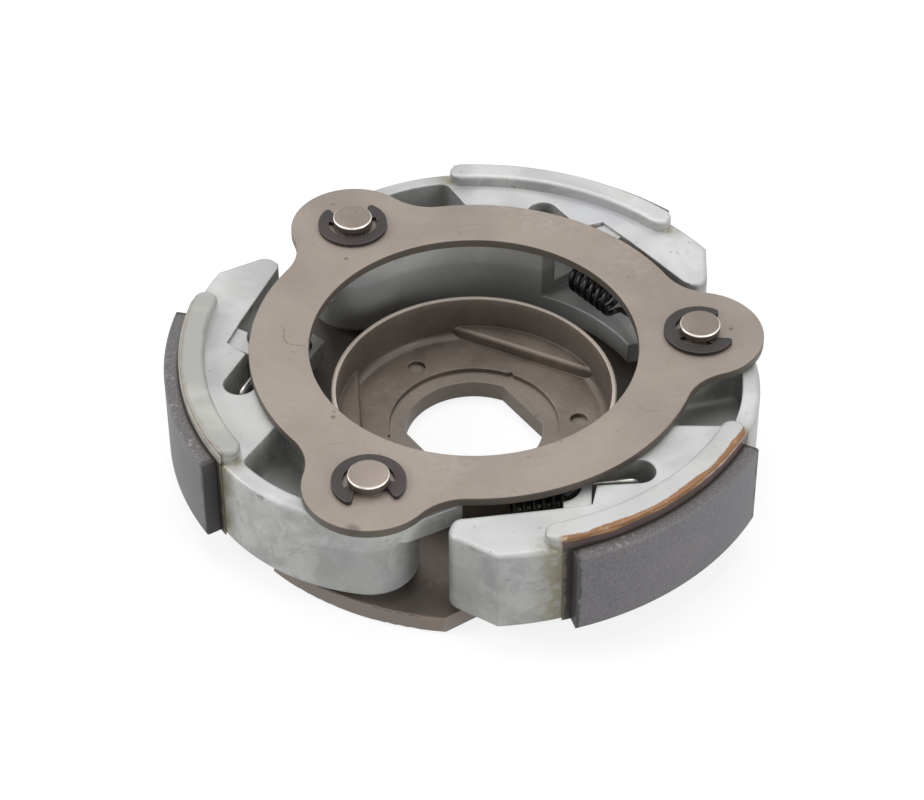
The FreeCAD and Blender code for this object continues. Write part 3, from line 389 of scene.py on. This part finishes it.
def cast_walls(s, number):
    """Cast skin on the walls: soft grey clouds, paler veins and a few dark flecks."""
    # Painted light and shade: each shoe's walls are made brighter and darker
    painted_wall_light = WALL_PAINTED_LIGHT[number]
    skin = s.band(s.noise(85, 6, 0.6, 0.7), 0.40, 0.58)
    walls = s.mix(skin, shaded((0.325, 0.332, 0.32), painted_wall_light), shaded((0.47, 0.475, 0.455), painted_wall_light))
    veins = s.band(s.noise(150, 6, 0.65, 1.4), 0.52, 0.60)
    walls = s.over(walls, veins, 0.45, shaded((0.58, 0.58, 0.565), painted_wall_light))
    flecks = s.all_of(s.band(s.noise(480, 3, 0.6), 0.64, 0.70), s.band(s.noise(90, 2), 0.50, 0.60))
    return s.over(walls, flecks, 0.6, (0.13, 0.13, 0.12))


def cast_aluminium(number):
    """Die-cast aluminium: pale, blotchy and softly dented, stained where the lining is glued on."""
    s = Shader("cast_aluminium_%d" % number)
    z, reach, angle = s.where(number)
    blotch = s.noise(70, 4, 0.5, 0.6)
    base = s.mix(s.band(blotch, 0.34, 0.66), (0.43, 0.435, 0.43), (0.585, 0.59, 0.585))
    base = s.mix(s.band(s.noise(22, 3), 0.45, 0.75, 0.0, 0.5), base, (0.65, 0.655, 0.65))
    outer = s.all_of(s.upright(), s.above(reach, SHOE_WALLS))
    base = s.over(base, outer, 0.8, cast_walls(s, number))
    base = s.over(base, s.above(z, SHOE_RIM), RIM_SHADE[number], (0.35, 0.352, 0.33))
    # Patches with a yellow and a blue cast, pits and specks
    yellow = s.band(s.noise(48, 4, 0.6, 0.5), 0.52, 0.68, 0.0, 0.55)
    base = s.mix(yellow, base, (0.50, 0.505, 0.455))
    blue = s.band(s.noise(62, 4, 0.6, 0.9), 0.54, 0.66, 0.0, 0.5)
    base = s.mix(blue, base, (0.47, 0.475, 0.505))
    pits = s.all_of(s.dots(520, 0.05, 0.16), s.band(s.noise(130, 2), 0.56, 0.64))
    base = s.over(base, pits, 0.6, (0.16, 0.16, 0.155))
    base = s.over(base, s.band(s.noise(620, 2), 0.70, 0.75), 0.5, (0.22, 0.215, 0.20))
    # Painted highlight along the edges
    base = s.over(base, s.edges(0.5 * MM, 0.03, 0.3), 0.45, (0.76, 0.77, 0.76))
    # The channel floor and pocket floor are painted darker: painted shade in the recesses
    low = s.all_of(s.below(z, SHOE_FLOORS), s.below(reach, FLOORS_REACH))
    base = s.over(base, low, 0.32, (0.20, 0.195, 0.18))
    # Cured glue: a yellow stain beside the lining's ends, brown specks high on the walls and a tan
    # film on the rim's outer edge
    ragged = s.noise(420, 4, 0.65)
    ends = s.math("ADD", s.above(angle, STAIN_FIRST, DEGREE), s.below(angle, STAIN_LAST, DEGREE))
    beside = s.math("SUBTRACT", ends, 1.0)
    wall = s.all_of(s.above(reach, STAIN_REACH), s.below(z, STAIN_HEAD))
    stain = s.all_of(beside, wall, s.band(ragged, 0.36, 0.56, 0.35, 1.0))
    base = s.over(base, stain, 0.85, (0.255, 0.23, 0.15))
    specks = s.all_of(
        outer,
        s.above(z, BROWN_SPECKS),
        s.band(s.noise(360, 4, 0.65), 0.52, 0.64),
        s.band(s.noise(70, 2), 0.46, 0.58),
    )
    base = s.over(base, specks, 0.6, (0.20, 0.165, 0.11))
    film = s.all_of(
        s.above(s.math("ADD", reach, s.wander(s.noise(160, 4, 0.65), 1.8 * MM)), FILM_REACH),
        s.above(z, FILM_FOOT),
        s.above(angle, FILM_FIRST, DEGREE),
        s.below(angle, FILM_LAST, DEGREE),
    )
    tan = s.mix(s.band(ragged, 0.54, 0.72), (0.25, 0.115, 0.04), (0.50, 0.38, 0.24))
    base = s.over(base, film, FILM_SHARE[number], tan)
    lumpy = s.bump(s.noise(160, 3), 0.25, 0.35 * MM, s.rounded(0.6 * MM))
    s.set(
        Base_Color=base,
        Metallic=0.2,
        Roughness=s.band(blotch, 0.3, 0.7, 0.38, 0.54),
        Normal=s.bump(s.noise(1100, 3, 0.6), 0.15, 0.05 * MM, lumpy),
    )
    return s.mat


def friction(number):
    """Friction compound: dark purplish grey with specks, a rough face and a granular top."""
    s = Shader("friction_lining_%d" % number)
    z, reach, angle = s.where(number)
    grain = s.noise(1500, 3, 0.6)
    base = s.mix(s.band(grain, 0.35, 0.68), (0.118, 0.112, 0.120), (0.178, 0.171, 0.180))
    base = s.mix(s.band(s.noise(60, 3), 0.4, 0.7, 0.0, 0.4), base, (0.215, 0.202, 0.21))
    dark = s.all_of(s.dots(700, 0.08, 0.2), s.band(s.noise(260, 2), 0.45, 0.58))
    base = s.over(base, dark, 0.7, (0.045, 0.042, 0.045))
    pale = s.all_of(s.dots(950, 0.06, 0.14), s.band(s.noise(330, 2), 0.5, 0.6))
    base = s.over(base, pale, 0.7, (0.42, 0.39, 0.37))
    top = s.above(z, LINING_HEAD)
    crumb = s.band(s.noise(2600, 2, 0.6), 0.38, 0.62)
    crumbs = s.mix(crumb, (0.095, 0.088, 0.09), (0.165, 0.155, 0.155))
    lumps = s.all_of(s.band(s.noise(900, 3, 0.6), 0.56, 0.66), s.band(s.noise(60, 2), 0.42, 0.6))
    base = s.mix(top, base, s.over(crumbs, lumps, 0.6, (0.40, 0.385, 0.37)))
    base = s.mix(s.all_of(top, s.below(reach, LINING_GLUE)), base, (0.045, 0.033, 0.027))
    # Cured glue runs round the ends in a ragged dark edge
    ragged = s.wander(s.noise(330, 4, 0.65), 3.2)
    crust = s.below(s.math("ADD", s.between(angle, LINING_ENDS), ragged), LINING_CRUST, DEGREE)
    base = s.over(base, crust, 0.85, (0.028, 0.025, 0.024))
    # Painted highlight along the edges
    base = s.over(base, s.edges(0.35 * MM), 0.35, (0.27, 0.25, 0.25))
    s.set(
        Base_Color=base,
        Roughness=s.band(grain, 0.3, 0.7, 0.46, 0.66),
        Normal=s.bump(grain, 0.4, 0.1 * MM, s.rounded(0.35 * MM)),
    )
    return s.mat


def resin(number):
    """Bonding resin round the lining: near black beside it, then brown, then a thin upper film.

    The film is tan and pink on the first shoe and nearly bare on the others.
    """
    s = Shader("bonding_resin_%d" % number)
    z, _, angle = s.where(number)
    cloud = s.noise(240, 4, 0.6)
    level = s.math("ADD", z, s.wander(s.noise(150, 4, 0.6), 1.5 * MM))
    if FILM_SHARE[number] < THICK_FILM:
        thin = s.mix(s.band(cloud, 0.35, 0.65), (0.36, 0.355, 0.32), (0.47, 0.46, 0.42))
        middle = s.mix(s.band(cloud, 0.35, 0.65), (0.25, 0.19, 0.165), (0.37, 0.345, 0.31))
        to_middle, to_thin = (24.2, 24.6), (24.7, 25.3)
    else:
        pink_end = s.above(angle, RESIN_PINK, DEGREE)
        warm = s.mix(s.band(cloud, 0.40, 0.60), (0.21, 0.10, 0.04), (0.36, 0.20, 0.09))
        pink = s.mix(s.band(cloud, 0.38, 0.62), (0.34, 0.22, 0.17), (0.50, 0.38, 0.31))
        thin = s.mix(pink_end, warm, pink)
        middle = s.mix(pink_end, (0.088, 0.062, 0.056), (0.11, 0.075, 0.074))
        to_middle, to_thin = (24.5, 25.0), (25.9, 26.4)
    dark = s.mix(s.band(cloud, 0.35, 0.65), (0.038, 0.033, 0.031), (0.082, 0.074, 0.072))
    base = s.mix(s.above(level, to_middle), dark, middle)
    base = s.mix(s.above(level, to_thin), base, thin)
    ragged = s.wander(s.noise(380, 4, 0.65), 2.4)
    crust = s.above(s.math("ADD", s.between(angle, RESIN_ENDS), ragged), RESIN_CRUST, DEGREE)
    side = s.mix(crust, (0.20, 0.165, 0.11), (0.03, 0.026, 0.025))
    base = s.mix(s.below(z, RESIN_FOOT), base, side)
    seam = s.below(s.math("ABSOLUTE", s.math("SUBTRACT", z, SEAM * MM)), SEAM_WIDTH)
    base = s.over(base, seam, 0.8, (0.028, 0.024, 0.022))
    s.set(
        Base_Color=base,
        Roughness=s.band(cloud, 0.3, 0.7, 0.38, 0.62),
        Normal=s.bump(cloud, 0.45, 0.12 * MM),
    )
    return s.mat


def rubber():
    """Stop rubbers: matt and near black."""
    s = Shader("stop_rubber")
    grain = s.noise(500, 3, 0.6)
    s.set(
        Base_Color=s.mix(grain, (0.018, 0.018, 0.018), (0.045, 0.043, 0.042)),
        Roughness=s.band(grain, 0.3, 0.7, 0.6, 0.8),
        Normal=s.bump(grain, 0.3, 0.05 * MM),
    )
    return s.mat


pin_steel = steel(
    "pin_steel",
    low=(0.20, 0.165, 0.14),
    high=(0.30, 0.252, 0.222),
    edge=(0.62, 0.56, 0.50),
    metallic=0.45,
    rough=0.32,
    extra=pin_shine,
    grain=0.10,
    edge_wear_and_highlight_share=0.6,
)
looks = {
    "base_plate": steel(
        "base_steel",
        low=(0.20, 0.168, 0.142),
        high=(0.27, 0.23, 0.198),
        edge=(0.42, 0.37, 0.32),
        metallic=0.25,
        rough=0.46,
        extra=base_marks,
    ),
    # The cup's steel is darker than the side plate's, in part as painted shade, since most of the cup
    # is seen from inside
    "hub_cup": steel(
        "cup_steel",
        low=(0.16, 0.128, 0.105),
        high=(0.245, 0.205, 0.172),
        edge=(0.5, 0.44, 0.38),
        metallic=0.35,
        rough=0.36,
        extra=cup_shade,
    ),
    "side_plate": steel(
        "plate_steel",
        low=(0.26, 0.216, 0.183),
        high=(0.325, 0.275, 0.236),
        edge=(0.52, 0.46, 0.40),
        metallic=0.25,
        rough=0.44,
        extra=plate_marks,
        grain=0.10,
    ),
    "retaining_clip": steel(
        "clip_steel",
        low=(0.018, 0.013, 0.0125),
        high=(0.042, 0.032, 0.030),
        edge=(0.20, 0.17, 0.16),
        metallic=0.3,
        rough=0.44,
    ),
    "pivot_pin": pin_steel,
    "stop_stud": pin_steel,
    "return_spring": spring_wire(),
    "stop_rubber": rubber(),
}
for number in SHOES:
    looks["shoe_%d" % number] = cast_aluminium(number)
    looks["lining_%d" % number] = friction(number)
    looks["bond_%d" % number] = resin(number)
for name, node in nodes.items():
    look = looks.get(name) or looks[name.rstrip("_0123456789")]
    node.data.materials.clear()
    node.data.materials.append(look)


# Return springs: round wire from the hole in the neighbour's ear, through the coil, to the shoe's
# slot. Millimetres, where the first shoe's spring sits
WIRE = 0.6  # radius of the wire
COIL = 2.9  # radius of the coil to the middle of its wire
PITCH = 1.95
TURNS = 5
SIDES = 6  # control points to a turn of the coil
BEND = 1.6  # how far from its corner a bend begins
COIL_BEND = 1.0  # the same for the corners of the coil
SPARE = 0.5  # straight length that is worth points of its own
COIL_HEAD = Vector((30.7, -24.95, 16.6))
COIL_ANGLE = math.radians(36)
# The hook hangs a little to one side in its hole, so that it still clears when the neighbour
# swings out
EAR = about_axis(-THIRD) @ Vector((26.9, 29.99, 0.0))
EAR_LOW = EAR + UP * 16.85
EAR_HEAD = EAR_LOW + UP * 3.2
SLOT_NEAR = Vector((35.6, -22.2, 22.0))
SLOT_FAR = Vector((43.5, -17.6, 22.0))
SLOT_FOOT = Vector((43.5, -17.6, 11.2))


def wire_route():
    """Control points of the wire: its corners, and points beside the bends of its longer runs."""
    along = Vector((math.cos(COIL_ANGLE), math.sin(COIL_ANGLE), 0.0))
    across = Vector((-math.sin(COIL_ANGLE), math.cos(COIL_ANGLE), 0.0))
    tail = COIL_HEAD - along * (TURNS * PITCH)
    side = 2 * math.pi / SIDES

    def corner(count):
        angle = (count + 0.5) * side - math.pi / 2
        ring = across * math.cos(angle) + UP * math.sin(angle)
        return tail + along * (PITCH * (count + 0.5) / SIDES) + ring * (COIL / math.cos(side / 2))

    bends = int(round((TURNS + 0.5) * SIDES))
    lead_in = (corner(0) + corner(-1)) * 0.5 - across * BEND
    lead_out = (corner(bends) + corner(bends - 1)) * 0.5 - across * BEND
    route = [(EAR_HEAD, 0.0), (EAR_LOW, BEND), (lead_in, BEND / 2)]
    route += [(corner(count), COIL_BEND) for count in range(bends)]
    route += [(lead_out, BEND / 2), (SLOT_NEAR, BEND), (SLOT_FAR, BEND), (SLOT_FOOT, 0.0)]
    points = []
    for (here, reach), (there, next_reach) in zip(route, route[1:]):
        points.append(here)
        run = there - here
        if run.length > 2 * (reach + next_reach) + SPARE:
            if reach:
                points.append(here + run.normalized() * 2 * reach)
            if next_reach:
                points.append(there - run.normalized() * 2 * next_reach)
    points.append(route[-1][0])
    return points


def make_spring(number):
    """One spring as a mesh of round wire, in place of the imported spring."""
    name = "spring_%d" % number
    curve = bpy.data.curves.new(name, "CURVE")
    curve.dimensions = "3D"
    curve.bevel_depth = WIRE * MM
    curve.bevel_resolution = 5
    curve.resolution_u = 6
    curve.use_fill_caps = True
    turn = about_axis(THIRD * (number - 1))
    route = [turn @ point * MM for point in wire_route()]
    spline = curve.splines.new("NURBS")
    spline.points.add(len(route) - 1)
    for point, place in zip(spline.points, route):
        point.co = (*place, 1.0)
    spline.order_u = 3
    spline.use_endpoint_u = True
    holder = bpy.data.objects.new(name + "_line", curve)
    scene.collection.objects.link(holder)
    bpy.context.view_layer.update()
    graph = bpy.context.evaluated_depsgraph_get()
    mesh = bpy.data.meshes.new_from_object(holder.evaluated_get(graph))
    bpy.data.objects.remove(holder)
    mesh.name = name
    mesh.materials.clear()
    mesh.materials.append(looks["return_spring"])
    for face in mesh.polygons:
        face.use_smooth = True
    piece = bpy.data.objects.new(name, mesh)
    scene.collection.objects.link(piece)
    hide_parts("return_spring_%d" % number)
    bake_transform(piece)


for number in SHOES:
    make_spring(number)


# Floor, world and lights
WHITE = (1, 1, 1, 1)
FLOOR_GREY = (0.28, 0.28, 0.28, 1)
FLOOR_SEEN = 0.80
FLOOR_HALF = 3.0
FLOOR_DROP = 0.0001
AMBIENT = 0.25


def strength_for_eye(tree, strength):
    """The strength for camera, glossy and transmission rays and 0 for light on the object."""
    paths = tree.nodes.new("ShaderNodeLightPath")
    last = paths.outputs["Is Camera Ray"]
    for other in ("Is Glossy Ray", "Is Transmission Ray"):
        node = tree.nodes.new("ShaderNodeMath")
        node.operation = "MAXIMUM"
        tree.links.new(last, node.inputs[0])
        tree.links.new(paths.outputs[other], node.inputs[1])
        last = node.outputs[0]
    scale = tree.nodes.new("ShaderNodeMath")
    scale.operation = "MULTIPLY"
    tree.links.new(last, scale.inputs[0])
    scale.inputs[1].default_value = strength
    return scale.outputs[0]


def make_floor():
    """A floor that looks near white and takes the object's shadow."""
    mesh = bpy.data.meshes.new("floor")
    plan = ((-1, -1), (1, -1), (1, 1), (-1, 1))
    mesh.from_pydata([(x * FLOOR_HALF, y * FLOOR_HALF, 0) for x, y in plan], [], [(0, 1, 2, 3)])
    floor = bpy.data.objects.new("floor", mesh)
    scene.collection.objects.link(floor)
    floor.location.z = -FLOOR_DROP
    mat = bpy.data.materials.new("floor_white")
    mat.use_nodes = True
    tree = mat.node_tree
    tree.nodes.clear()
    out = tree.nodes.new("ShaderNodeOutputMaterial")
    diffuse = tree.nodes.new("ShaderNodeBsdfDiffuse")
    diffuse.inputs["Color"].default_value = FLOOR_GREY
    glow = tree.nodes.new("ShaderNodeEmission")
    tree.links.new(strength_for_eye(tree, FLOOR_SEEN), glow.inputs["Strength"])
    both = tree.nodes.new("ShaderNodeAddShader")
    tree.links.new(diffuse.outputs[0], both.inputs[0])
    tree.links.new(glow.outputs[0], both.inputs[1])
    tree.links.new(both.outputs[0], out.inputs[0])
    mesh.materials.append(mat)


def make_world():
    """White to the eye, and a soft ambient light on the object."""
    world = bpy.data.worlds.new("studio")
    scene.world = world
    world.use_nodes = True
    tree = world.node_tree
    tree.nodes.clear()
    out = tree.nodes.new("ShaderNodeOutputWorld")
    pick = tree.nodes.new("ShaderNodeMixShader")
    tree.links.new(strength_for_eye(tree, 1.0), pick.inputs[0])
    for socket, strength in ((pick.inputs[1], AMBIENT), (pick.inputs[2], 1.0)):
        sky = tree.nodes.new("ShaderNodeBackground")
        sky.inputs["Color"].default_value = WHITE
        sky.inputs["Strength"].default_value = strength
        tree.links.new(sky.outputs[0], socket)
    tree.links.new(pick.outputs[0], out.inputs[0])


def softbox(name, place, aim, size, power):
    """A rectangular lamp of a power in watts that faces the aim."""
    light = bpy.data.lights.new(name, "AREA")
    light.shape = "RECTANGLE"
    light.size, light.size_y = size
    light.energy = power
    lamp = bpy.data.objects.new(name, light)
    scene.collection.objects.link(lamp)
    facing = (Vector(place) - Vector(aim)).to_track_quat("Z", "Y")
    lamp.matrix_world = Matrix.Translation(place) @ facing.to_matrix().to_4x4()


make_floor()
make_world()
middle = (0.0, 0.0, 0.015)
softbox("softbox_top", (-0.08, 0.18, 0.62), middle, (0.60, 0.50), 2.25)
softbox("softbox_left", (-0.54, -0.26, 0.36), middle, (0.35, 0.35), 2.2)
softbox("softbox_right", (0.63, -0.06, 0.24), middle, (0.35, 0.30), 2.0)
softbox("softbox_front", (0.33, -0.60, 0.10), middle, (0.50, 0.16), 0.7)

# Camera at the photograph's viewing angle: its right, up and back directions and its place
RIGHT = Vector((0.89706, 0.44189, -0.00398))
ABOVE = Vector((-0.29163, 0.59874, 0.74597))
BACK = Vector((0.33202, -0.66802, 0.66597))
PLACE = (0.19552, -0.39879, 0.40800)
SENSOR = 36.0
FOCAL_PIXELS = 2954.12
PHOTO_WIDTH = 924
camera = bpy.data.cameras.new("camera")
camera.sensor_fit = "HORIZONTAL"
camera.sensor_width = SENSOR
camera.lens = SENSOR * FOCAL_PIXELS / PHOTO_WIDTH
camera.clip_start = 0.05
camera.clip_end = 20.0
eye = bpy.data.objects.new("camera", camera)
scene.collection.objects.link(eye)
eye.matrix_world = Matrix.Translation(PLACE) @ Matrix((RIGHT, ABOVE, BACK)).transposed().to_4x4()
scene.camera = eye

scene.view_settings.view_transform = "Standard"
